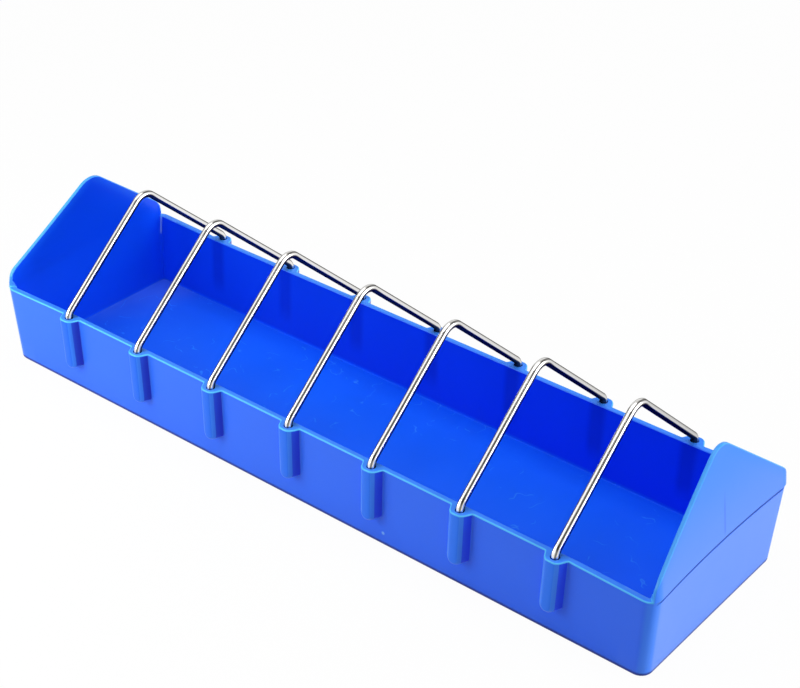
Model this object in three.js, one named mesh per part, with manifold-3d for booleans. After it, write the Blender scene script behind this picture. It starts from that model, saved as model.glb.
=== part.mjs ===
// Bird feeder trough: one plastic moulding with a row of bent wire bars pushed into its sockets.
// Millimetres, +X along the trough, +Z up, origin at the middle of the underside.
import * as THREE from 'three';
import { mergeVertices } from 'three/addons/utils/BufferGeometryUtils.js';
import Module from 'manifold-3d';

const wasm = await Module();
wasm.setup();

// Row of bars
const BAR_COUNT = 7;
const BAR_PITCH = 40;
const END_BAY = 39.4; // from the last bar to the end of the rim

// Trough, measured outside at the rim
const RIM_WIDTH = 87.6; // where the bars hold the long walls
const RIM_HEIGHT = 34.2;
const WALL = 2.6;
const FLOOR = 2.5;
const SIDE_DRAFT = 0.8; // degrees that a long wall leans out
const END_DRAFT = 2.9; // degrees that an end wall leans out
const END_SPREAD = 1.5; // how much further out a long wall's rim stands at the ends
const END_BOW = 1.6; // how far in the middle of an end wall's rim stands
const CORNER_RADIUS = 4;
const FOOT_RADIUS = 1.2;
const FLOOR_FILLET = 1.4;
const CORNER_SPARE = 0.4; // by which a corner's radius stays over its edge's

// Gable ends, above the rim
const GABLE_SIDE = 4.3; // upright side under the slope
const GABLE_SLOPE = 37.2; // degrees
const GABLE_LEAN = 7.9; // degrees that a gable leans in
const GABLE_STEP = 0.3; // how far it stands proud at the parting line
const GABLE_LIP = 0.6; // how far it reaches below the rim
const GABLE_CORNER_RADIUS = 6.5; // in plan view
const GABLE_SIDE_RADIUS = 5;
const GABLE_TOP_RADIUS = 9;

// Wire bars, measured to the middle of the wire
const WIRE_DIAMETER = 3;
const BAR_SLOPE = 41; // degrees
const BAR_SHOULDER = 1.7; // corner of the leg's bend above the rim
const LEG_BEND_RADIUS = 5;
const TOP_BEND_RADIUS = 6.5;
const LEG_CLEARANCE = 0.3; // under a leg's end

// Sockets on the outside of the long walls
const SOCKET_OFFSET = 1.1; // middle of the hole outside the wall, at the rim
const SOCKET_CLEARANCE = 0.3; // all round the wire
const SOCKET_DEPTH = 18;
const SOCKET_BASE = 3.4; // plastic under the hole
const SOCKET_SIDE_WALL = 1.15;
const SOCKET_FRONT_WALL = 1.6;
const SOCKET_FOOT_RADIUS = 2.4;
const SOCKET_EDGE_RADIUS = 1.2;
const SOCKET_ROOT_FILLET = 2.2;

// Facets
const WIRE_SIDES = 12;
const HOLE_SIDES = 16;
const CORNER_SEGMENTS = 5;
const EDGE_SEGMENTS = 3;
const BOW_SEGMENTS = 8;
const WALL_SEGMENTS = 4;
const LEG_BEND_SEGMENTS = 5;
const TOP_BEND_SEGMENTS = 8;
const CUT_MARGIN = 1; // how far a cutting solid runs past what it cuts

// Worked out from the sizes above
const rimLength = (BAR_COUNT - 1) * BAR_PITCH + 2 * END_BAY;
const halfLength = rimLength / 2;
const halfWidth = RIM_WIDTH / 2;
const endBar = halfLength - END_BAY;
const endHalfWidth = halfWidth + END_SPREAD;
const sideLean = Math.tan(THREE.MathUtils.degToRad(SIDE_DRAFT));
const endLean = Math.tan(THREE.MathUtils.degToRad(END_DRAFT));
const gableLean = Math.tan(THREE.MathUtils.degToRad(GABLE_LEAN));
const gableShoulder = RIM_HEIGHT + GABLE_SIDE;
const gablePeak = gableShoulder + endHalfWidth * Math.tan(THREE.MathUtils.degToRad(GABLE_SLOPE));
const legPlace = halfWidth + SOCKET_OFFSET;
const socketFloor = RIM_HEIGHT - SOCKET_DEPTH;
const holeRadius = WIRE_DIAMETER / 2 + SOCKET_CLEARANCE;
const barShoulder = RIM_HEIGHT + BAR_SHOULDER;
const barPeak = barShoulder + legPlace * Math.tan(THREE.MathUtils.degToRad(BAR_SLOPE));

// Solids and booleans

function solid(geometry) {
  const bare = geometry.clone();
  bare.deleteAttribute('normal');
  bare.deleteAttribute('uv');
  const welded = mergeVertices(bare);
  const mesh = new wasm.Mesh({
    numProp: 3,
    vertProperties: new Float32Array(welded.attributes.position.array),
    triVerts: new Uint32Array(welded.index.array),
  });
  return new wasm.Manifold(mesh);
}

function geometryOf(manifold) {
  const mesh = manifold.getMesh();
  const geometry = new THREE.BufferGeometry();
  geometry.setAttribute('position', new THREE.BufferAttribute(mesh.vertProperties, mesh.numProp));
  geometry.setIndex(new THREE.BufferAttribute(mesh.triVerts, 1));
  geometry.computeVertexNormals();
  return geometry;
}

function movePoints(geometry, move) {
  const position = geometry.attributes.position;
  const point = new THREE.Vector3();
  for (let index = 0; index < position.count; index += 1) {
    point.fromBufferAttribute(position, index);
    move(point);
    position.setXYZ(index, point.x, point.y, point.z);
  }
  return geometry;
}

// Round corners and bends

function arcAt(before, corner, after, radius) {
  const back = before.clone().sub(corner).normalize();
  const on = after.clone().sub(corner).normalize();
  const half = Math.acos(back.dot(on)) / 2;
  const middle = back.clone().add(on).normalize();
  const centre = corner.clone().addScaledVector(middle, radius / Math.sin(half));
  const start = corner.clone().addScaledVector(back, radius / Math.tan(half)).sub(centre);
  const clockwise = back.cross(on) > 0;
  const sweep = (clockwise ? -1 : 1) * (Math.PI - 2 * half);
  return { centre, start, sweep };
}

function pointsOnArc({ centre, start, sweep }, segments) {
  const points = [];
  for (let step = 0; step <= segments; step += 1) {
    const turned = start.clone().rotateAround(new THREE.Vector2(), (sweep * step) / segments);
    points.push(turned.add(centre));
  }
  return points;
}

function roundedShape(corners) {
  const points = corners.flatMap(({ at, radius }, index) => {
    if (!radius) {
      return [at];
    }
    const before = corners.at(index - 1).at;
    const after = corners[(index + 1) % corners.length].at;
    return pointsOnArc(arcAt(before, at, after, radius), CORNER_SEGMENTS);
  });
  return new THREE.Shape(points);
}

function corner(x, y, radius = 0) {
  return { at: new THREE.Vector2(x, y), radius };
}

function regularPolygon(radius, sides) {
  const start = new THREE.Vector2(radius, 0);
  const points = Array.from({ length: sides }, (_, side) => (
    start.clone().rotateAround(new THREE.Vector2(), (2 * Math.PI * side) / sides)
  ));
  return new THREE.Shape(points);
}

// Trough

// How far in an end wall's rim stands, across the end
function bowAt(y) {
  return END_BOW * (1 - (y / endHalfWidth) ** 2);
}

// The bars hold the long walls straight. Past the end bars the walls spread out to the wider ends.
function spreadAt(x) {
  return (END_SPREAD * Math.max(Math.abs(x) - endBar, 0)) / END_BAY;
}

function bowedLine(x, halfY) {
  return Array.from({ length: BOW_SEGMENTS - 1 }, (_, index) => {
    const y = halfY * ((2 * (index + 1)) / BOW_SEGMENTS - 1);
    return corner(x - bowAt(y), y);
  });
}

function planView(inset, radius) {
  const end = halfLength - inset;
  const side = halfWidth - inset;
  const endSide = endHalfWidth - inset;
  const rightHalf = [
    corner(endBar, -side),
    corner(end, -endSide, radius),
    ...bowedLine(end, endSide),
    corner(end, endSide, radius),
    corner(endBar, side),
  ];
  const leftHalf = rightHalf.map((one) => corner(-one.at.x, -one.at.y, one.radius));
  return roundedShape([...rightHalf, ...leftHalf]);
}

// The plan view holds at the rim. Towards the foot the walls draw in and straighten.
function draftedBlock(inset, bottom, edgeRadius, top) {
  const radius = Math.max(CORNER_RADIUS - inset, edgeRadius + CORNER_SPARE);
  const block = new THREE.ExtrudeGeometry(planView(inset, radius), {
    depth: top - bottom,
    steps: WALL_SEGMENTS,
    bevelThickness: edgeRadius,
    bevelSize: edgeRadius,
    bevelOffset: -edgeRadius,
    bevelSegments: EDGE_SEGMENTS,
  });
  block.translate(0, 0, bottom + edgeRadius);
  return solid(movePoints(block, (point) => {
    const below = RIM_HEIGHT - point.z;
    const share = below / RIM_HEIGHT;
    const endward = share * bowAt(point.y) - endLean * below;
    const inward = share * spreadAt(point.x) + sideLean * below;
    point.x += Math.sign(point.x) * endward;
    point.y -= Math.sign(point.y) * inward;
  }));
}

function slab(bottom, top) {
  const reach = 2 * (halfLength + halfWidth);
  const box = new THREE.BoxGeometry(reach, reach, top - bottom);
  return solid(box.translate(0, 0, (bottom + top) / 2));
}

// A socket's front view is a strip with a round lower end. It stands out from the wall along -Y.
function socketFrontView() {
  const half = holeRadius + SOCKET_SIDE_WALL;
  const foot = socketFloor - SOCKET_BASE;
  const top = RIM_HEIGHT + CUT_MARGIN;
  return roundedShape([
    corner(-half, foot, SOCKET_FOOT_RADIUS),
    corner(half, foot, SOCKET_FOOT_RADIUS),
    corner(half, top),
    corner(-half, top),
  ]);
}

function standingOut(geometry, from) {
  return geometry.rotateX(Math.PI / 2).translate(0, -from, 0);
}

function socketBoss() {
  const buried = WALL / 2;
  const depth = SOCKET_OFFSET + holeRadius + SOCKET_FRONT_WALL;
  const body = new THREE.ExtrudeGeometry(socketFrontView(), {
    depth: buried + depth - SOCKET_EDGE_RADIUS,
    bevelThickness: SOCKET_EDGE_RADIUS,
    bevelSize: SOCKET_EDGE_RADIUS,
    bevelOffset: -SOCKET_EDGE_RADIUS,
    bevelSegments: EDGE_SEGMENTS,
  });
  const root = new THREE.ExtrudeGeometry(socketFrontView(), {
    depth: buried,
    bevelThickness: SOCKET_ROOT_FILLET,
    bevelSize: SOCKET_ROOT_FILLET,
    bevelSegments: 1,
  });
  standingOut(body, halfWidth - buried);
  standingOut(root, halfWidth - buried);
  movePoints(root, (point) => {
    point.y += sideLean * (RIM_HEIGHT - point.z);
  });
  return solid(body).add(solid(root));
}

function socketHole() {
  const hole = new THREE.ExtrudeGeometry(regularPolygon(holeRadius, HOLE_SIDES), {
    depth: SOCKET_DEPTH + CUT_MARGIN,
    bevelEnabled: false,
  });
  return solid(hole.translate(0, -legPlace, socketFloor));
}

function barPlace(index) {
  return (index - (BAR_COUNT - 1) / 2) * BAR_PITCH;
}

// Puts a copy of a front-wall feature at every bar, along both long walls
function alongBothWalls(feature) {
  const copies = [];
  for (let index = 0; index < BAR_COUNT; index += 1) {
    const front = feature.translate([barPlace(index), 0, 0]);
    copies.push(front, front.rotate([0, 0, 180]));
  }
  return wasm.Manifold.union(copies);
}

// A gable is a bowed plate over the end wall, cut to its front view and to round corners in plan view
function gable() {
  const inside = halfLength - WALL;
  const outside = halfLength + GABLE_STEP;
  const foot = RIM_HEIGHT - GABLE_LIP;
  const plateView = roundedShape([
    corner(outside, -endHalfWidth),
    ...bowedLine(outside, endHalfWidth),
    corner(outside, endHalfWidth),
    corner(inside, endHalfWidth),
    ...bowedLine(inside, endHalfWidth).reverse(),
    corner(inside, -endHalfWidth),
  ]);
  const columnView = roundedShape([
    corner(-outside, -endHalfWidth, GABLE_CORNER_RADIUS),
    corner(outside, -endHalfWidth, GABLE_CORNER_RADIUS),
    corner(outside, endHalfWidth, GABLE_CORNER_RADIUS),
    corner(-outside, endHalfWidth, GABLE_CORNER_RADIUS),
  ]);
  const plate = new THREE.ExtrudeGeometry(plateView, { depth: gablePeak, bevelEnabled: false });
  const column = new THREE.ExtrudeGeometry(columnView, { depth: gablePeak, bevelEnabled: false });
  const frontView = roundedShape([
    corner(-endHalfWidth, foot),
    corner(endHalfWidth, foot),
    corner(endHalfWidth, gableShoulder, GABLE_SIDE_RADIUS),
    corner(0, gablePeak, GABLE_TOP_RADIUS),
    corner(-endHalfWidth, gableShoulder, GABLE_SIDE_RADIUS),
  ]);
  const front = new THREE.ExtrudeGeometry(frontView, { depth: rimLength, bevelEnabled: false });
  const alongX = new THREE.Vector3(1, 0, 0);
  const alongY = new THREE.Vector3(0, 1, 0);
  const alongZ = new THREE.Vector3(0, 0, 1);
  front.applyMatrix4(new THREE.Matrix4().makeBasis(alongY, alongZ, alongX));
  const upright = geometryOf(solid(plate).intersect(solid(column)).intersect(solid(front)));
  return solid(movePoints(upright, (point) => {
    point.x -= gableLean * (point.z - RIM_HEIGHT);
  }));
}

function troughGeometry() {
  const top = RIM_HEIGHT + CUT_MARGIN;
  const outside = draftedBlock(0, 0, FOOT_RADIUS, top);
  const inside = draftedBlock(WALL, FLOOR, FLOOR_FILLET, top);
  const aboveRim = slab(RIM_HEIGHT, gablePeak + CUT_MARGIN);
  const rightGable = gable();
  const leftGable = rightGable.rotate([0, 0, 180]);
  const moulding = outside
    .add(alongBothWalls(socketBoss()))
    .subtract(inside)
    .subtract(alongBothWalls(socketHole()))
    .subtract(aboveRim)
    .add(rightGable)
    .add(leftGable);
  return geometryOf(moulding);
}

// Wire bars

// A wire's middle line in the YZ plane, with stations in its bends and none along its straights
class BentWire extends THREE.Curve {
  constructor(stations) {
    super();
    this.stations = stations;
  }

  stationAt(u) {
    return this.stations[Math.round(u * (this.stations.length - 1))];
  }

  getPointAt(u) {
    const { point } = this.stationAt(u);
    return new THREE.Vector3(0, point.x, point.y);
  }

  getTangentAt(u) {
    const { along } = this.stationAt(u);
    return new THREE.Vector3(0, along.x, along.y).normalize();
  }
}

function bendStations(before, bend, after, radius, segments) {
  const arc = arcAt(before, bend, after, radius);
  const quarterTurn = (Math.sign(arc.sweep) * Math.PI) / 2;
  return pointsOnArc(arc, segments).map((point) => ({
    point,
    along: point.clone().sub(arc.centre).rotateAround(new THREE.Vector2(), quarterTurn),
  }));
}

function barGeometry() {
  const up = new THREE.Vector2(0, 1);
  const frontEnd = new THREE.Vector2(-legPlace, socketFloor + LEG_CLEARANCE);
  const frontShoulder = new THREE.Vector2(-legPlace, barShoulder);
  const peak = new THREE.Vector2(0, barPeak);
  const backShoulder = new THREE.Vector2(legPlace, barShoulder);
  const backEnd = new THREE.Vector2(legPlace, socketFloor + LEG_CLEARANCE);
  const stations = [
    { point: frontEnd, along: up },
    ...bendStations(frontEnd, frontShoulder, peak, LEG_BEND_RADIUS, LEG_BEND_SEGMENTS),
    ...bendStations(frontShoulder, peak, backShoulder, TOP_BEND_RADIUS, TOP_BEND_SEGMENTS),
    ...bendStations(peak, backShoulder, backEnd, LEG_BEND_RADIUS, LEG_BEND_SEGMENTS),
    { point: backEnd, along: up.clone().negate() },
  ];
  return new THREE.ExtrudeGeometry(regularPolygon(WIRE_DIAMETER / 2, WIRE_SIDES), {
    steps: stations.length - 1,
    extrudePath: new BentWire(stations),
    bevelEnabled: false,
  });
}

// Assembly

function troughMesh() {
  const bluePlastic = new THREE.MeshStandardMaterial({ color: 0x1450e6, roughness: 0.35, metalness: 0 });
  const mesh = new THREE.Mesh(troughGeometry(), bluePlastic);
  mesh.name = 'trough';
  return mesh;
}

function barMesh(index) {
  const brightSteel = new THREE.MeshStandardMaterial({ color: 0xcfcdc8, roughness: 0.2, metalness: 1 });
  const mesh = new THREE.Mesh(barGeometry(), brightSteel);
  mesh.name = `wire_bar_${index + 1}`;
  mesh.position.x = barPlace(index);
  return mesh;
}

const feeder = new THREE.Group();
feeder.add(troughMesh());
for (let index = 0; index < BAR_COUNT; index += 1) {
  feeder.add(barMesh(index));
}

export default feeder;
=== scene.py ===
import math

import bmesh
import bpy
from mathutils import Matrix, Vector


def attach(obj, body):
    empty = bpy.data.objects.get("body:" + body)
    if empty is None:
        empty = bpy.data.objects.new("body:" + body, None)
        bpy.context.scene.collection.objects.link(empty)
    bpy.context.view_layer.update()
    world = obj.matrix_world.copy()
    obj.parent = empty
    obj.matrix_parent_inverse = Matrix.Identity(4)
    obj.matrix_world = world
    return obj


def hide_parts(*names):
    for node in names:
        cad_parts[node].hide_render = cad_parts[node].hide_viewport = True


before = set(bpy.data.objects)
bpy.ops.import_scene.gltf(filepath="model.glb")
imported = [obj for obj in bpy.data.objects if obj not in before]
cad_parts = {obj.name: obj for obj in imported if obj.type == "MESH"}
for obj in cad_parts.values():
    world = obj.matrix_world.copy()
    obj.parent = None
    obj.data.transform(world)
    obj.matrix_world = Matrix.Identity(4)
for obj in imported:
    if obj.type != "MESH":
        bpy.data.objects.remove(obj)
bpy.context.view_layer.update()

# Trough. One injection moulding in blue polypropylene: a floor, four drafted walls, two thin gable ends and
# fourteen wire sockets. It stands loose on its own flat underside, and the sockets on the outside of its
# long walls hold the legs of the bars.
mm = 0.001
half_length = 159.4 * mm
half_width = 43.8 * mm
rim_height = 34.2 * mm
wall = 2.6 * mm
floor_thickness = 2.5 * mm
corner_radius = 4.8 * mm
corner_steps = 6
foot_rounding = 1.2 * mm
floor_fillet = 0.5 * mm
rim_rounding = 0.45 * mm
end_draft = math.tan(math.radians(2.9))
side_draft = math.tan(math.radians(0.8))
end_spread = 1.5 * mm
end_bow = 1.6 * mm

bar_pitch = 40 * mm
bar_places = [(number - 3) * bar_pitch for number in range(7)]
leg_place = 44.9 * mm
boss_half = 2.8 * mm
boss_root_half = 5 * mm
boss_foot = 11.5 * mm
boss_reach = 3.85 * mm
boss_crown = 0.4 * mm
boss_draft = 0.7
boss_nose = 1.3 * mm
boss_fillet = 0.25 * mm
hole_radius = 1.75 * mm
hole_floor = 16.2 * mm

gable_side = 4.3 * mm
gable_slope = math.radians(37.2)
gable_lean = math.tan(math.radians(7.9))
gable_plate = 1.6 * mm
gable_corner_thinning = 0.6 * mm
shoulder_radius = 7.5 * mm
peak_radius = 9 * mm
lip_reach = 0.3 * mm
groove_top = 0.1 * mm
groove_foot = 1.55 * mm
groove_depth = 0.25 * mm
groove_flank = 0.05 * mm
groove_fade = 1.4

# Two places closer than a hair count as the same. Where nothing else lies near, some slack will do.
hair = 0.01 * mm
slack = 0.1 * mm


def pull_out(mesh, faces, move):
    """Pulls faces out of a solid, or pushes them into it, with new walls behind them."""
    pulled = bmesh.ops.extrude_face_region(mesh, geom=faces)["geom"]
    bmesh.ops.delete(mesh, geom=[face for face in faces if face.is_valid], context="FACES")
    verts = [item for item in pulled if isinstance(item, bmesh.types.BMVert)]
    bmesh.ops.translate(mesh, vec=move, verts=verts)


def faces_where(mesh, test):
    """The faces whose middle and normal pass a test."""
    mesh.normal_update()
    return [face for face in mesh.faces if test(face.calc_center_median(), face.normal)]


def score(mesh, faces, place, across):
    """Scores a straight line over some faces, where a flat plane meets them."""
    edges = {edge for face in faces for edge in face.edges}
    verts = {vert for face in faces for vert in face.verts}
    bmesh.ops.bisect_plane(mesh, geom=[*verts, *edges, *faces], dist=1e-7, plane_co=place, plane_no=across)


def round_off(mesh, edges, size, steps):
    """Rounds a run of edges, or fills it where it is an inside corner."""
    return bmesh.ops.bevel(
        mesh, geom=edges, affect="EDGES", offset_type="OFFSET", offset=size, segments=steps, profile=0.5,
        material=-1, clamp_overlap=False,
    )


# The box of the trough, with rounded corners and the feed space sunk into it.
tub = bmesh.new()
bmesh.ops.create_cube(tub, size=1)
bmesh.ops.scale(tub, vec=(2 * half_length, 2 * half_width, rim_height), verts=tub.verts)
bmesh.ops.translate(tub, vec=(0, 0, rim_height / 2), verts=tub.verts)
uprights = [edge for edge in tub.edges if abs(edge.verts[0].co.z - edge.verts[1].co.z) > rim_height / 2]
round_off(tub, uprights, corner_radius, corner_steps)
top = faces_where(tub, lambda middle, normal: normal.z > 0.9)
bmesh.ops.inset_region(tub, faces=top, thickness=wall, use_boundary=True, use_even_offset=True)
pull_out(tub, top, (0, 0, floor_thickness - rim_height))

# The gable ends rise from the rim between the middles of the rounded corners.
corner_x = half_length - corner_radius
corner_y = half_width - corner_radius
mid_wall = corner_radius - wall / 2
ends = faces_where(
    tub,
    lambda middle, normal: normal.z > 0.9
    and middle.z > rim_height - slack
    and abs(middle.x) > corner_x
    and abs(middle.x) - corner_x > abs(middle.y) - corner_y,
)
pull_out(tub, ends, (0, 0, gable_side))


def off_bar(x):
    """How far a place along the trough is from the nearest bar."""
    return min(abs(x - place) for place in bar_places)


def outside_of(side, test=lambda middle: True):
    """The faces on the outside of a long wall whose middles pass a test."""
    return faces_where(
        tub,
        lambda middle, normal: normal.y * side > 0.9 and abs(middle.y) > half_width - slack and test(middle),
    )


# The sockets stand out from the long walls, from some way above the foot up to the rim.
for side in (-1, 1):
    for place in bar_places:
        for boss_side in (place - boss_half, place + boss_half):
            score(tub, outside_of(side), (boss_side, 0, 0), (1, 0, 0))
    strips = outside_of(side, lambda middle: off_bar(middle.x) < boss_half)
    score(tub, strips, (0, 0, boss_foot), (0, 0, 1))
    fronts = outside_of(side, lambda middle: middle.z > boss_foot and off_bar(middle.x) < boss_half)
    pull_out(tub, fronts, (0, side * boss_reach, 0))
bmesh.ops.dissolve_limit(tub, angle_limit=0.01, verts=tub.verts, edges=tub.edges)


def on_boss(edge, test):
    """Whether an edge lies on a socket and both its ends pass a test."""
    return all(
        off_bar(vert.co.x) < boss_half + hair and abs(vert.co.x) < corner_x and test(vert.co)
        for vert in edge.verts
    )


def on_boss_top(edge):
    """Whether an edge lies on the top of a socket."""
    return on_boss(edge, lambda at: at.z > rim_height - hair)


def run_along(edge):
    """The way an edge runs, as a unit vector."""
    return (edge.verts[0].co - edge.verts[1].co).normalized()


# The sockets lose the two corners at their foot, then the edges round their front, and their root is filled.
foot_corners = [
    edge for edge in tub.edges
    if abs(run_along(edge).y) > 0.99
    and on_boss(edge, lambda at: abs(at.z - boss_foot) < hair and abs(at.y) > half_width - slack)
]
round_off(tub, foot_corners, boss_half - slack, 7)
face_run = [
    edge for edge in tub.edges
    if on_boss(edge, lambda at: abs(at.y) > half_width + boss_reach - hair) and not on_boss_top(edge)
]
round_off(tub, face_run, boss_nose, 5)
root_run = [
    edge for edge in tub.edges
    if on_boss(edge, lambda at: abs(abs(at.y) - half_width) < hair and at.z > boss_foot - hair)
    and not on_boss_top(edge)
]
round_off(tub, root_run, boss_fillet, 2)
nose_lines = [line * mm for line in (-0.8, 0, 0.8)]
for place in bar_places:
    for line in nose_lines:
        noses = faces_where(
            tub,
            lambda middle, normal: abs(normal.y) > 0.99 and abs(middle.y) > half_width + boss_reach - hair,
        )
        score(tub, noses, (place + line, 0, 0), (1, 0, 0))

# Scored lines let the long walls spread towards the ends, and let the ends bow and take their roofs.
spread_lines = [line * mm for line in (127, 133, 139, 145, 151)]
bow_lines = [line * mm for line in (0, 1.2, 2.4, 3.6, 4.8, 6, 9, 13, 17, 21, 25, 29, 33, 37)]
for line in spread_lines:
    for end in (-1, 1):
        score(tub, tub.faces[:], (end * line, 0, 0), (1, 0, 0))
for line in bow_lines:
    for side in (1, -1) if line else (1,):
        end_faces = faces_where(tub, lambda middle, normal: abs(middle.x) > corner_x)
        score(tub, end_faces, (0, side * line, 0), (0, 1, 0))


def at_gable(at):
    """Whether a point lies in an end of the trough, between the middles of its corners."""
    return abs(at.x) > corner_x + hair and abs(at.x) - corner_x > abs(at.y) - corner_y - hair


def corner_way(at):
    """The way out of a rounded corner at a point, straight along the trough where the end is flat."""
    return Vector((abs(at.x) - corner_x, max(abs(at.y) - corner_y, 0)))


def roof(reach):
    """The height of the gable's edge at a distance from the middle of the trough."""
    slope = math.tan(gable_slope)
    spread_width = half_width + end_spread
    peak = rim_height + gable_side + spread_width * slope
    side_reach = (corner_y + corner_radius * math.sin(math.pi / 4)) * spread_width / half_width
    side_top = peak - side_reach * slope
    run = shoulder_radius * math.tan((math.pi / 2 - gable_slope) / 2)
    if reach < peak_radius * math.sin(gable_slope):
        return peak - peak_radius / math.cos(gable_slope) + math.sqrt(peak_radius ** 2 - reach ** 2)
    if reach > side_reach - run * math.cos(gable_slope):
        out = min(reach - side_reach + shoulder_radius, shoulder_radius)
        return side_top - run + math.sqrt(shoulder_radius ** 2 - out ** 2)
    return peak - reach * slope


corner_turns = [math.radians(turn) for turn in (7.5, 22.5, 37.5)]
for end in (-1, 1):
    for side in (-1, 1):
        for turn in corner_turns:
            corner = faces_where(
                tub,
                lambda middle, normal: at_gable(middle) and middle.x * end > 0 and middle.y * side > corner_y,
            )
            across = (-end * math.sin(turn), side * math.cos(turn), 0)
            score(tub, corner, (end * corner_x, side * corner_y, 0), across)
for vert in tub.verts:
    if vert.co.z > rim_height + gable_side - hair:
        out = corner_way(vert.co)
        reach = abs(vert.co.y) if out.y == 0 else corner_y + corner_radius * out.y / out.length
        vert.co.z = roof(reach * (1 + end_spread / half_width))

# The outside of each end is scored for the groove of the parting line, and the inside for its soft bend.
groove_lines = (-groove_foot - groove_flank, -groove_foot, -groove_top, groove_flank - groove_top, 0)
bend_lines = [line * mm for line in (-15, -12, -9, -6, -3, 0, 2.5, 5, 9)]
for line in groove_lines:
    outside = faces_where(
        tub,
        lambda middle, normal: at_gable(middle)
        and corner_way(middle).length > mid_wall
        and abs(normal.z) < 0.5,
    )
    score(tub, outside, (0, 0, rim_height + line), (0, 0, 1))
for line in bend_lines:
    inside = faces_where(
        tub,
        lambda middle, normal: at_gable(middle)
        and corner_way(middle).length < mid_wall
        and abs(normal.z) < 0.5,
    )
    score(tub, inside, (0, 0, rim_height + line), (0, 0, 1))

# Each face carries marks for its finish and painted light. Whether it is outside is easiest to tell from the
# plain box.
marks = {
    name: tub.faces.layers.float.new(name)
    for name in (
        "parting_line", "painted_edge_light", "outer_skin", "socket_front", "socket_flank", "socket_edge",
    )
}
for face in tub.faces:
    middle = face.calc_center_median()
    at_corner = abs(middle.y) > corner_y and abs(middle.x) > corner_x
    face[marks["outer_skin"]] = float(
        abs(middle.y) > half_width - wall / 2
        or abs(middle.x) > half_length - wall / 2
        or at_corner and corner_way(middle).length > mid_wall
        or middle.z < floor_thickness / 2
    )

# The straight box takes its draft, its spread and bowed walls, the leaning thin gables, the groove under them
# and the crowned noses of the sockets.
bend = 9 * mm
thinning_below = 15 * mm
thinning_above = 5 * mm
corner_thins_within = 2 * mm
boss_margin = 1 * mm
in_groove = {}
for vert in tub.verts:
    at = vert.co.copy()
    end = math.copysign(1, at.x)
    side = math.copysign(1, at.y)
    in_end = at_gable(at)
    way = corner_way(at)
    rise = min(at.z / rim_height, 1)
    below = max(rim_height - at.z, 0)
    above = max(at.z - rim_height, 0)
    spread = end_spread * max(abs(at.x) - bar_places[-1], 0) / (half_length - bar_places[-1])
    bar = min(bar_places, key=lambda place: abs(at.x - place))
    from_bar = at.x - bar
    out = (abs(at.y) - half_width) / boss_reach
    if out > -0.001 and abs(from_bar) < boss_half + boss_margin and at.z > boss_foot - boss_margin:
        vert.co.x = bar + from_bar * (1 + boss_draft * (1 - out))
        vert.co.y += side * boss_crown * out * (1 - (from_bar / boss_half) ** 2)
    push = 0
    if in_end and way.length > mid_wall:
        if below < groove_top - groove_flank / 2:
            push = lip_reach
        elif below < groove_foot + groove_flank / 2:
            in_groove[vert] = max(1 - groove_fade * way.y / way.length, 0)
            push = -groove_depth * in_groove[vert]
    elif in_end:
        thinned = (at.z - rim_height + thinning_below) / (thinning_below + thinning_above)
        thinned = min(max(thinned, 0), 1)
        full = min(above / corner_thins_within, 1)
        thinned *= thinned * (3 - 2 * thinned) * (full + (1 - full) * (1 - way.y / way.x))
        corner_thinning = gable_corner_thinning * full * way.y / way.x
        push = (wall + lip_reach - gable_plate + corner_thinning) * thinned
    if push:
        vert.co.x += end * push * way.normalized().x
        vert.co.y += side * push * way.normalized().y
    vert.co.y *= 1 + rise * spread / half_width
    vert.co.y -= side * below * side_draft * abs(at.y) / half_width
    vert.co.x -= end * below * end_draft * abs(at.x) / half_length
    if in_end:
        bow = end_bow * (1 - (vert.co.y / (half_width + end_spread)) ** 2)
        vert.co.x -= end * rise * max(bow, 0)
        vert.co.x -= end * above * gable_lean
        if way.length < mid_wall and abs(at.z - rim_height) < bend:
            near = 1 - abs(at.z - rim_height) / bend
            vert.co.x -= end * (end_draft + gable_lean) * bend / 4 * near ** 2
for face in tub.faces:
    face[marks["parting_line"]] = min(in_groove.get(vert, 0) for vert in face.verts)


def sharp_edges(mesh, lowest, highest):
    """The bent edges of a mesh between two heights."""
    mesh.normal_update()
    return [
        edge for edge in mesh.edges
        if all(lowest - hair < vert.co.z < highest + hair for vert in edge.verts)
        and edge.calc_face_angle(0) > math.radians(40)
    ]


# The foot, the floor, the rim and the gables lose their sharp edges.
round_off(tub, sharp_edges(tub, 0, 0), foot_rounding, 4)
round_off(tub, sharp_edges(tub, floor_thickness, floor_thickness), floor_fillet, 2)
softened = set(round_off(tub, sharp_edges(tub, rim_height, math.inf), rim_rounding, 3)["faces"])
tub.normal_update()
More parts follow.
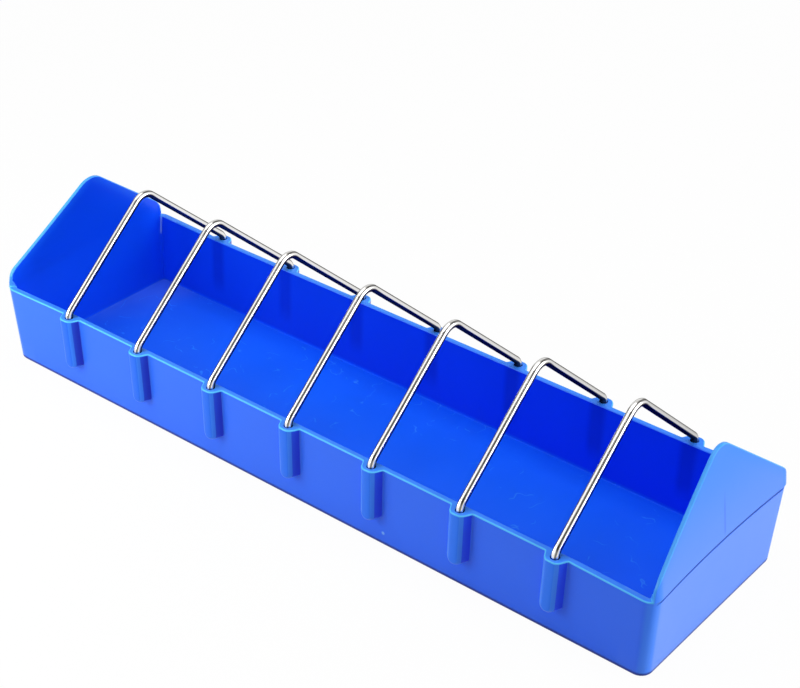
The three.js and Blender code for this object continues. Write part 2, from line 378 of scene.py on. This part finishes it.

# The other marks: the fronts, flanks and edges of the sockets, and the strength of the painted edge
# highlights.
front_turn = 0.78
edge_turn = 0.4
plate_edge_pale = 0.45
shaded_plate_edge_pale = 0.16
rim_inside_pale = 0.15
rim_top_pale = 0.25
for face in tub.faces:
    face.smooth = True
    middle = face.calc_center_median()
    on_top = face.normal.z > 0.9 and middle.z > rim_height - slack
    beside_bar = off_bar(middle.x) < boss_root_half
    on_socket = abs(middle.y) > half_width + slack and beside_bar and not on_top
    sideways = abs(face.normal.x)
    face[marks["socket_front"]] = float(on_socket and sideways <= front_turn)
    face[marks["socket_flank"]] = float(on_socket and sideways > front_turn)
    face[marks["socket_edge"]] = float(on_socket and edge_turn < sideways <= front_turn)
    outwards = Vector((
        math.copysign(max(abs(middle.x) - corner_x, 0), middle.x),
        math.copysign(max(abs(middle.y) - corner_y, 0), middle.y),
    ))
    if middle.z > rim_height + 0.5 * mm:
        along_out = face.normal.x * math.copysign(1, middle.x)
        across_out = face.normal.y * math.copysign(1, middle.y)
        on_plate_edge = face in softened or face.normal.z > 0.5 or across_out > 0.3 and along_out < 0.5
        shaded = middle.x < 0 and face.normal.z < 0.3
        pale = shaded_plate_edge_pale if shaded else plate_edge_pale
        face[marks["painted_edge_light"]] = pale * on_plate_edge
        face[marks["outer_skin"]] = max(face[marks["outer_skin"]], on_plate_edge)
    elif face in softened:
        face[marks["painted_edge_light"]] = 1 if face.normal.xy.dot(outwards) > 0 else rim_inside_pale
        face[marks["outer_skin"]] = 1
    elif on_top:
        face[marks["painted_edge_light"]] = rim_top_pale
        face[marks["outer_skin"]] = 1
trough_mesh = bpy.data.meshes.new("trough_moulding")
tub.to_mesh(trough_mesh)
tub.free()
trough = bpy.data.objects.new("trough_moulding", trough_mesh)
bpy.context.collection.objects.link(trough)

# The holes for the legs are drilled down through the tops of the sockets.
above_rim = 2 * mm
drill = bmesh.new()
for place in bar_places:
    for side in (-1, 1):
        bit = bmesh.ops.create_cone(
            drill, cap_ends=True, segments=32, radius1=hole_radius, radius2=hole_radius,
            depth=rim_height - hole_floor + above_rim,
        )["verts"]
        middle = (rim_height + hole_floor) / 2 + above_rim / 2
        bmesh.ops.translate(drill, vec=(place, side * leg_place, middle), verts=bit)
drill_mesh = bpy.data.meshes.new("drill")
drill.to_mesh(drill_mesh)
drill.free()
drills = bpy.data.objects.new("drill", drill_mesh)
bpy.context.collection.objects.link(drills)
drilling = trough.modifiers.new("holes", "BOOLEAN")
drilling.operation = "DIFFERENCE"
drilling.solver = "EXACT"
drilling.object = drills
drilled = bpy.data.meshes.new_from_object(trough.evaluated_get(bpy.context.evaluated_depsgraph_get()))
trough.modifiers.remove(drilling)
trough.data = drilled
bpy.data.objects.remove(drills)
drilled.set_sharp_from_angle(angle=math.radians(35))
evened = trough.modifiers.new("even_faces", "WEIGHTED_NORMAL")
evened.keep_sharp = True


class Flow:
    """One output of a shader node. Sums written with it add their own Math nodes."""

    def __init__(self, tree, socket=None):
        self.tree = tree
        self.socket = socket

    def node(self, kind, settings=None, inputs=None, output=0):
        """Adds a node: its settings first, then the values or links of its sockets."""
        made = self.tree.nodes.new(kind)
        for name, value in (settings or {}).items():
            setattr(made, name, value)
        for name, value in (inputs or {}).items():
            if isinstance(value, Flow):
                self.tree.links.new(value.socket, made.inputs[name])
            else:
                made.inputs[name].default_value = value
        return Flow(self.tree, made.outputs[output] if made.outputs else None)

    def sum(self, operation, first, second):
        return self.node("ShaderNodeMath", {"operation": operation}, {0: first, 1: second})

    def __add__(self, other):
        return self.sum("ADD", self, other)

    def __sub__(self, other):
        return self.sum("SUBTRACT", self, other)

    def __rsub__(self, other):
        return self.sum("SUBTRACT", other, self)

    def __mul__(self, other):
        return self.sum("MULTIPLY", self, other)

    def __truediv__(self, other):
        return self.sum("DIVIDE", self, other)

    __radd__ = __add__
    __rmul__ = __mul__


def new_material(name):
    """A material with an empty shader, to be filled in."""
    material = bpy.data.materials.new(name)
    material.use_nodes = True
    material.node_tree.nodes.clear()
    return material, Flow(material.node_tree)


def axes(shader):
    """The Object coordinates, and each of their three numbers."""
    here = shader.node("ShaderNodeTexCoord", output="Object")
    return here, *(shader.node("ShaderNodeSeparateXYZ", None, {0: here}, output=axis) for axis in "XYZ")


def ease(value, start, end):
    """A mask that goes smoothly from 0 to 1 while a value goes from start to end."""
    return value.node(
        "ShaderNodeMapRange", {"interpolation_type": "SMOOTHSTEP"}, {0: value, 1: start, 2: end}
    )


def size_of(value):
    """A value without its sign."""
    return value.node("ShaderNodeMath", {"operation": "ABSOLUTE"}, {0: value})


def cloud(place, per_metre, detail=2):
    """Soft noise from 0 to 1, with so many lumps to the metre."""
    return place.node("ShaderNodeTexNoise", None, {"Vector": place, "Scale": per_metre, "Detail": detail})


def stretched(place, scale):
    """Coordinates drawn out or pressed together along the axes."""
    return place.node("ShaderNodeMapping", None, {"Vector": place, "Scale": scale})


def tint(mask, first, second):
    """The first colour where a mask is 0, and the second where it is 1."""
    return mask.node("ShaderNodeMix", {"data_type": "RGBA"}, {0: mask, 6: first, 7: second}, output=2)


def mark(shader, name):
    """A mark that the mesh carries on its faces or points."""
    return shader.node("ShaderNodeAttribute", {"attribute_name": name}, output="Fac")


blue_plastic, shader = new_material("blue_polypropylene")
place, along, across, height = axes(shader)
from_middle = size_of(across)
from_centre = size_of(along)
to_right = ease(along, -125 * mm, 125 * mm)
outer_skin = mark(shader, "outer_skin")
on_floor = (1 - outer_skin) * (1 - ease(height, floor_thickness + 0.2 * mm, floor_thickness + 0.8 * mm))
on_walls = (1 - outer_skin) * ease(height, floor_thickness + 0.2 * mm, floor_thickness + 2 * mm)

# Cloudy pigment, with painted shade deepening the inner walls and a painted sheen paling the outer skin.
deep_pigment = (0.0017, 0.112, 0.93, 1)
clear_pigment = (0.0024, 0.124, 0.98, 1)
colour = tint(ease(cloud(place, 22, 3), 0.3, 0.7), deep_pigment, clear_pigment)
inner_shade_blue = (0.0012, 0.062, 0.8, 1)
on_end_wall = ease(from_centre, corner_x - 3 * mm, corner_x)
colour = tint(on_walls * (0.9 - 0.25 * on_end_wall), colour, inner_shade_blue)
skin_sheen_blue = tint(to_right, (0.043, 0.174, 0.8, 1), (0.04, 0.172, 1, 1))
colour = tint(outer_skin * 0.6, colour, skin_sheen_blue)
# Painted light and sheen on the outsides of both ends, paler low down.
painted_end_light = outer_skin * ease(from_centre, half_length - 14 * mm, half_length - 12 * mm)
painted_end_light = painted_end_light * (1 - ease(from_middle, half_width - 2.2 * mm, half_width + 0.2 * mm))
up_the_end = ease(height, rim_height - 4 * mm, rim_height + 34 * mm)
end_light_blue = tint(up_the_end, (0.13, 0.31, 0.92, 1), (0.05, 0.27, 0.94, 1))
colour = tint(painted_end_light * 0.7, colour, end_light_blue)

# The sockets: painted light on the fronts, painted shade on the flanks and a painted highlight on their
# edges.
# The fronts are painted lighter towards the right.
front_light_blue = tint(to_right, (0.002, 0.12, 0.72, 1), (0.018, 0.21, 1, 1))
colour = tint(mark(shader, "socket_front") * 0.75, colour, front_light_blue)
# The painted flank shade deepens towards the wall and towards the left.
near_root = 1 - ease(from_middle, half_width + 0.5 * mm, half_width + 3.5 * mm)
flank_shade_blue = tint(to_right, (0.0002, 0.018, 0.5, 1), (0.0004, 0.048, 0.95, 1))
colour = tint(mark(shader, "socket_flank") * (0.55 + 0.4 * near_root), colour, flank_shade_blue)
socket_highlight_blue = (0.06, 0.3, 1, 1)
colour = tint(mark(shader, "socket_edge") * 0.4, colour, socket_highlight_blue)

# Painted light on thin and rounded places: the outer corners, under the gable edges, the rounded edges and
# rim top.
outer_corner_light_blue = (0.04, 0.24, 1, 1)
below_rim = rim_height - height
outer_corner_light = ease(from_centre + below_rim * end_draft, corner_x + 0.5 * mm, corner_x + 2.5 * mm)
outer_corner_light = outer_corner_light * ease(from_middle + below_rim * side_draft, corner_y, corner_y + 2 * mm)
colour = tint(outer_corner_light * outer_skin * 0.7, colour, outer_corner_light_blue)
# A painted glow on each gable, along under its roof edges.
painted_glow_blue = (0.02, 0.24, 1, 1)
gable_peak = rim_height + gable_side + (half_width + end_spread) * math.tan(gable_slope)
from_roof = (gable_peak - height - from_middle * math.tan(gable_slope)) * math.cos(gable_slope)
on_gable = ease(from_centre, half_length - 11 * mm, half_length - 9 * mm)
on_gable = on_gable * ease(height, rim_height, rim_height + 2 * mm)
painted_glow = on_gable * (1 - ease(from_roof, 0, 5 * mm))
colour = tint(painted_glow * 0.3, colour, painted_glow_blue)
# Painted highlights on the rounded edges and the rim top.
edge_highlight_blue = (0.09, 0.52, 1, 1)
colour = tint(mark(shader, "painted_edge_light"), colour, edge_highlight_blue)
# Painted shade in the groove under each gable.
groove_shade_blue = (0.002, 0.025, 0.25, 1)
colour = tint(mark(shader, "parting_line") * 0.8, colour, groove_shade_blue)

# Painted shade inside the long walls, less to the left. Sink marks: thick sockets drew the wall in behind
# them as it cooled.
on_long_wall = on_walls * ease(from_middle, half_width - 2 * wall, half_width - 1.5 * wall)
far_from_left = 0.3 + 0.7 * ease(along, -158 * mm, -80 * mm)
long_wall_shade_blue = tint(to_right, (0.0014, 0.046, 0.72, 1), (0.0006, 0.031, 0.96, 1))
colour = tint(on_long_wall * far_from_left * 0.7, colour, long_wall_shade_blue)
# Painted light in the inner corners, where the ends meet the long walls.
inner_corner_light_blue = (0.003, 0.1, 1, 1)
inner_corner_light = on_walls * ease(from_centre, 138 * mm, 154 * mm) * ease(from_middle, 28 * mm, 40 * mm)
colour = tint(inner_corner_light * 0.7, colour, inner_corner_light_blue)
# Painted shade darkens the wall behind each socket, over the sink mark that the bump dents in.
sink_shade_blue = (0.0004, 0.012, 0.45, 1)
nearest_bar = shader.node("ShaderNodeMath", {"operation": "ROUND"}, {0: along / bar_pitch}) * bar_pitch
behind_socket = 1 - ease(size_of(along - nearest_bar), 1.5 * mm, 5 * mm)
sink_and_shade = behind_socket * on_long_wall * ease(height, boss_foot - 5 * mm, boss_foot + 6 * mm)
sink_and_shade = sink_and_shade * (1 - ease(from_centre, 130 * mm, 136 * mm))
colour = tint(sink_and_shade * 0.45, colour, sink_shade_blue)

# Painted grey reflection and haze at the floor's left end. Handling: short curved scratches on it, low
# outside scuffs.
left_floor_sheen_blue = (0.012, 0.095, 0.62, 1)
left_floor_sheen = on_floor * (1 - ease(along, -160 * mm, -60 * mm))
colour = tint(left_floor_sheen * 0.55, colour, left_floor_sheen_blue)
sheen_haze_blue = (0.05, 0.15, 0.8, 1)
haze_reach = along - 0.4 * across - 28 * mm * cloud(place, 45, 3)
haze = on_floor * (1 - ease(haze_reach, -180 * mm, -154 * mm)) * ease(across, -20 * mm, 16 * mm)
colour = tint(haze * (0.4 + 0.5 * cloud(place, 60, 3)), colour, sheen_haze_blue)
scratch_blue = (0.03, 0.26, 1, 1)
scratch = 1 - ease(size_of(cloud(place, 75) - 0.5), 0, 0.012)
scratch = scratch * ease(cloud(place, 140), 0.52, 0.6) * ease(cloud(place, 25), 0.42, 0.5) * on_floor
colour = tint(scratch * 0.7, colour, scratch_blue)
scuff_blue = (0.05, 0.2, 0.9, 1)
low_outside = outer_skin * (1 - ease(height, 1 * mm, 10 * mm))
scuff = low_outside * ease(cloud(stretched(place, (1, 1, 6)), 150, 4), 0.55, 0.72)
colour = tint(scuff * 0.3, colour, scuff_blue)

# Painted shade on the turn under the foot. Moulding marks: the weld line on the right gable, one raised pip
# on the front. A pale line runs down the inside of the joint of the back wall and the left end.
foot_shade_blue = (0.003, 0.016, 0.22, 1)
foot_shade = outer_skin * (1 - ease(height, 1.2 * mm, 2.4 * mm))
colour = tint(foot_shade * 0.9, colour, foot_shade_blue)
weld_blue = (0.03, 0.11, 0.75, 1)
weld_line = outer_skin * (1 - ease(size_of(across - 1.5 * mm), 0.15 * mm, 0.7 * mm)) * ease(along, 0, 0.1)
weld_line = weld_line * ease(height, rim_height, rim_height + 3 * mm) * (1 - ease(height, 45 * mm, 55 * mm))
colour = tint(weld_line * 0.55, colour, weld_blue)
# A pale line down the inside of the back-left corner.
pale_line_blue = (0.35, 0.6, 1, 1)
pale_corner_line = 1 - ease(size_of(along + 155.75 * mm), 0.15 * mm, 0.45 * mm)
pale_corner_line = pale_corner_line * ease(across, 40.8 * mm, 41.1 * mm) * (1 - outer_skin)
pale_corner_line = pale_corner_line * ease(height, 25 * mm, 27 * mm) * (1 - ease(height, 33.6 * mm, 34.2 * mm))
colour = tint(pale_corner_line * 0.85, colour, pale_line_blue)
pip_blue = (0.22, 0.5, 1, 1)
pip_place = (44.7 * mm, -43.4 * mm, 5.7 * mm)
from_pip = shader.node(
    "ShaderNodeVectorMath", {"operation": "DISTANCE"}, {0: place, 1: pip_place}, output="Value"
)
pip = 1 - ease(from_pip, 0.4 * mm, 0.9 * mm)
colour = tint(pip * 0.8, colour, pip_blue)

grain = cloud(place, 800, 3)
relief = grain * 0.008 - scratch * 0.02 - sink_and_shade * 0.15 - scuff * 0.01 + pip * 0.04
surface = shader.node("ShaderNodeBsdfPrincipled", None, {
    "Base Color": colour,
    "Roughness": 0.28 + 0.08 * cloud(place, 120, 3) + 0.15 * scratch + 0.1 * scuff + 0.12 * on_floor,
    "IOR": 1.49,
    "Specular IOR Level": 0.22,
    "Normal": shader.node("ShaderNodeBump", None, {"Height": relief, "Distance": 1 * mm}),
})
shader.node("ShaderNodeOutputMaterial", None, {"Surface": surface})
trough.data.materials.clear()
trough.data.materials.append(blue_plastic)
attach(trough, "trough")
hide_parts("trough")

# Wire bars. Seven lengths of bright 3 mm steel wire, drawn, polished and bent over a former into an upside
# down V with two upright legs. The legs push down into the sockets, almost to the socket floors, and hold
# there by friction.
wire_radius = 1.5 * mm
wire_sides = 20
leg_end = 16.5 * mm
leg_chamfer = 0.25 * mm
leg_bend = 5 * mm
leg_bend_steps = 8
bar_shoulder = 35.9 * mm
bar_slope = math.radians(41)
top_bend = 6.5 * mm
top_bend_steps = 16


def bend_wire(mesh, ring, centre, angle, steps):
    """Bends the open end of a wire round a point."""
    return bmesh.ops.spin(
        mesh, geom=ring, cent=centre, axis=(1, 0, 0), angle=angle, steps=steps, use_duplicate=False
    )["geom_last"]


def draw_wire(mesh, ring, move):
    """Draws the open end of a wire further along a straight line."""
    edges = [item for item in ring if isinstance(item, bmesh.types.BMEdge)]
    drawn = bmesh.ops.extrude_edge_only(mesh, edges=edges)["geom"]
    verts = [item for item in drawn if isinstance(item, bmesh.types.BMVert)]
    bmesh.ops.translate(mesh, vec=move, verts=verts)
    return verts + [
        item for item in drawn if isinstance(item, bmesh.types.BMEdge) and all(v in verts for v in item.verts)
    ]


# Polished steel with fine lines along the wire, with painted dark reflections on its inner side and in one
# line.
bright_wire, shader = new_material("bright_wire")
across = axes(shader)[2]
inner_side = mark(shader, "inner_side")
flank_side = mark(shader, "flank_side")
round_the_wire = shader.node("ShaderNodeCombineXYZ", None, {0: inner_side, 1: flank_side, 2: across * 9})
drawn = cloud(round_the_wire, 8, 4)
polished_steel = (0.95, 0.94, 0.92, 1)
drawn_steel = (0.87, 0.86, 0.84, 1)
colour = tint(ease(drawn, 0.3, 0.7), polished_steel, drawn_steel)
# Painted dark reflection: the inner side of the wire near black, inside the bends and under the slopes.
dark_reflection = (0.03, 0.02, 0.04, 1)
painted_dark_reflection = ease(inner_side - 0.36 * ease(across, 0, 10 * mm), -0.4, -0.05)
colour = tint(painted_dark_reflection * 0.94, colour, dark_reflection)
# A painted dark reflection line along one side of the wire, left off the front slopes.
reflection_line_colour = (0.06, 0.055, 0.05, 1)
front_slope = ease(across, -45 * mm, -41 * mm) * (1 - ease(across, -9 * mm, -4 * mm))
painted_reflection_line = (1 - ease(size_of(flank_side - 0.5), 0.1, 0.34)) * (1 - ease(inner_side, -0.5, -0.2))
colour = tint(painted_reflection_line * (1 - front_slope) * 0.85, colour, reflection_line_colour)
surface = shader.node("ShaderNodeBsdfPrincipled", None, {
    "Base Color": colour,
    "Metallic": 1,
    "Specular Tint": (0.35, 0.35, 0.35, 1),
    "Roughness": 0.1 + 0.14 * drawn,
    "Normal": shader.node("ShaderNodeBump", None, {"Height": drawn * 0.01, "Distance": 1 * mm}),
})
shader.node("ShaderNodeOutputMaterial", None, {"Surface": surface})

# Each bar is drawn from the end of its front leg, over the top, to the end of its back leg.
leg_tip = wire_radius - leg_chamfer
leg_turn = bar_slope - math.pi / 2
slope_way = Vector((0, math.cos(bar_slope), math.sin(bar_slope)))
leg_tangent = leg_bend * math.tan((math.pi / 2 - bar_slope) / 2)
top_tangent = top_bend * math.tan(bar_slope)
slope_run = leg_place / math.cos(bar_slope) - leg_tangent - top_tangent
bend_height = bar_shoulder - leg_tangent
top_centre = bar_shoulder + leg_place * math.tan(bar_slope) - top_bend / math.cos(bar_slope)
for number, place in enumerate(bar_places, 1):
    rod = bmesh.new()
    inner_layer = rod.verts.layers.float.new("inner_side")
    flank_layer = rod.verts.layers.float.new("flank_side")
    ring = bmesh.ops.create_circle(rod, segments=wire_sides, radius=leg_tip)["verts"]
    for vert in ring:
        vert[inner_layer], vert[flank_layer] = vert.co.yx / leg_tip
    bmesh.ops.translate(rod, vec=(place, -leg_place, leg_end), verts=ring)
    ring = ring + rod.edges[:]
    ring = draw_wire(rod, ring, (0, 0, leg_chamfer))
    bmesh.ops.scale(
        rod, vec=(wire_radius / leg_tip, wire_radius / leg_tip, 1),
        space=Matrix.Translation((-place, leg_place, 0)),
        verts=[item for item in ring if isinstance(item, bmesh.types.BMVert)],
    )
    ring = draw_wire(rod, ring, (0, 0, bend_height - leg_end - leg_chamfer))
    ring = bend_wire(rod, ring, (place, leg_bend - leg_place, bend_height), leg_turn, leg_bend_steps)
    ring = draw_wire(rod, ring, slope_way * slope_run)
    ring = bend_wire(rod, ring, (place, 0, top_centre), -2 * bar_slope, top_bend_steps)
    ring = draw_wire(rod, ring, slope_way.reflect((0, 0, 1)) * slope_run)
    ring = bend_wire(rod, ring, (place, leg_place - leg_bend, bend_height), leg_turn, leg_bend_steps)
    ring = draw_wire(rod, ring, (0, 0, leg_end + leg_chamfer - bend_height))
    bmesh.ops.holes_fill(rod, edges=rod.edges, sides=0)
    bmesh.ops.remove_doubles(rod, verts=rod.verts, dist=1e-6)
    bmesh.ops.recalc_face_normals(rod, faces=rod.faces)
    for face in rod.faces:
        face.smooth = len(face.verts) == 4
    bar_mesh = bpy.data.meshes.new(f"bent_bar_{number}")
    rod.to_mesh(bar_mesh)
    rod.free()
    bar_mesh.materials.append(bright_wire)
    bar = bpy.data.objects.new(f"bent_bar_{number}", bar_mesh)
    bpy.context.collection.objects.link(bar)
    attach(bar, f"wire_bar_{number}")
    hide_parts(f"wire_bar_{number}")

# Stage. A plain white floor under soft studio light, seen from the right and above as in the photograph.
# The floor and the surroundings show as white, and the floor keeps the shadow of the trough.
white = (1, 1, 1, 1)
floor_paint = (0.82, 0.82, 0.82, 1)
floor_reach = 4
ground = bmesh.new()
bmesh.ops.create_grid(ground, x_segments=1, y_segments=1, size=floor_reach)
ground_mesh = bpy.data.meshes.new("studio_floor")
ground.to_mesh(ground_mesh)
ground.free()
studio_floor = bpy.data.objects.new("studio_floor", ground_mesh)
bpy.context.collection.objects.link(studio_floor)
floor_white, shader = new_material("studio_white")
seen = shader.node("ShaderNodeLightPath", output="Is Camera Ray")
mirrored = shader.node("ShaderNodeLightPath", output="Is Glossy Ray")
seen_through = shader.node("ShaderNodeLightPath", output="Is Transmission Ray")
painted = shader.node("ShaderNodeBsdfDiffuse", None, {"Color": floor_paint})
shown = shader.node("ShaderNodeEmission", None, {"Color": white, "Strength": 1})
share_shown = seen * 0.97 + (mirrored + seen_through) * 0.8
surface = shader.node("ShaderNodeMixShader", None, {0: share_shown, 1: painted, 2: shown})
shader.node("ShaderNodeOutputMaterial", None, {"Surface": surface})
ground_mesh.materials.append(floor_white)

# The surroundings are white to the eye. The wires mirror a white room with a few dark parts in it.
world = bpy.data.worlds.new("studio")
bpy.context.scene.world = world
world.use_nodes = True
world.node_tree.nodes.clear()
shader = Flow(world.node_tree)
unlit = shader.node("ShaderNodeBackground", None, {"Color": white, "Strength": 0})
backdrop = shader.node("ShaderNodeBackground", None, {"Color": white, "Strength": 1})
way = shader.node("ShaderNodeTexCoord", output="Generated")
to_photographer, to_left, to_back, upwards = (
    shader.node("ShaderNodeVectorMath", {"operation": "DOT_PRODUCT"}, {0: way, 1: axis}, output="Value")
    for axis in ((0.36, -0.55, 0.75), (-1, 0, 0), (0, 1, 0), (0, 0, 1))
)
dark_room = (0.06, 0.055, 0.04, 1)
dark = ease(to_photographer, 0.84, 0.92) + ease(to_left, 0.84, 0.94)
dark = dark + 0.4 * ease(upwards, 0.42, 0.6) * ease(to_back, 0.1, 0.4)
room = shader.node("ShaderNodeBackground", None, {"Color": tint(dark, white, dark_room), "Strength": 1})
camera_ray = shader.node("ShaderNodeLightPath", output="Is Camera Ray")
glossy_ray = shader.node("ShaderNodeLightPath", output="Is Glossy Ray")
clear_ray = shader.node("ShaderNodeLightPath", output="Is Transmission Ray")
around = shader.node("ShaderNodeMixShader", None, {0: glossy_ray, 1: unlit, 2: room})
sky = shader.node("ShaderNodeMixShader", None, {0: camera_ray + clear_ray, 1: around, 2: backdrop})
shader.node("ShaderNodeOutputWorld", None, {"Surface": sky})


def softbox(name, place, aim, size, power):
    """A soft light at a place, so wide and high, turned to what it lights."""
    lamp = bpy.data.lights.new(name, "AREA")
    lamp.shape = "RECTANGLE"
    lamp.size, lamp.size_y = size
    lamp.energy = power
    stand = bpy.data.objects.new(name, lamp)
    stand.location = place
    stand.rotation_euler = (Vector(aim) - Vector(place)).to_track_quat("-Z", "Y").to_euler()
    bpy.context.collection.objects.link(stand)


mid_trough = (0, 0, 0.03)
left_front = (-0.2, -0.04, 0.03)
softbox("top", (0, 0, 1.3), mid_trough, (1.2, 1.2), 12.5)
softbox("right", (1.15, 0.45, 0.45), mid_trough, (1.2, 1), 15)
softbox("front", (-0.25, -0.3, 0.17), left_front, (0.3, 0.25), 1.25)

# The camera of the photograph: a long lens, to the right of the trough's front and above it.
lens = bpy.data.cameras.new("photo_camera")
lens.sensor_fit = "HORIZONTAL"
lens.sensor_width = 36
lens.lens = 79.2871
lens.clip_start = 0.05
lens.clip_end = 20
photo_camera = bpy.data.objects.new("photo_camera", lens)
eye = (0.367829, -0.440937, 0.402349)
right = Vector((0.7758408, 0.6307333, 0.0156995))
down = Vector((0.3410977, -0.3983781, -0.8514383))
ahead = Vector((-0.5307762, 0.6659357, -0.5242197))
turn = Matrix((right, -down, -ahead)).transposed().to_4x4()
photo_camera.matrix_world = Matrix.Translation(eye) @ turn
bpy.context.collection.objects.link(photo_camera)
bpy.context.scene.camera = photo_camera
bpy.context.scene.view_settings.view_transform = "Standard"
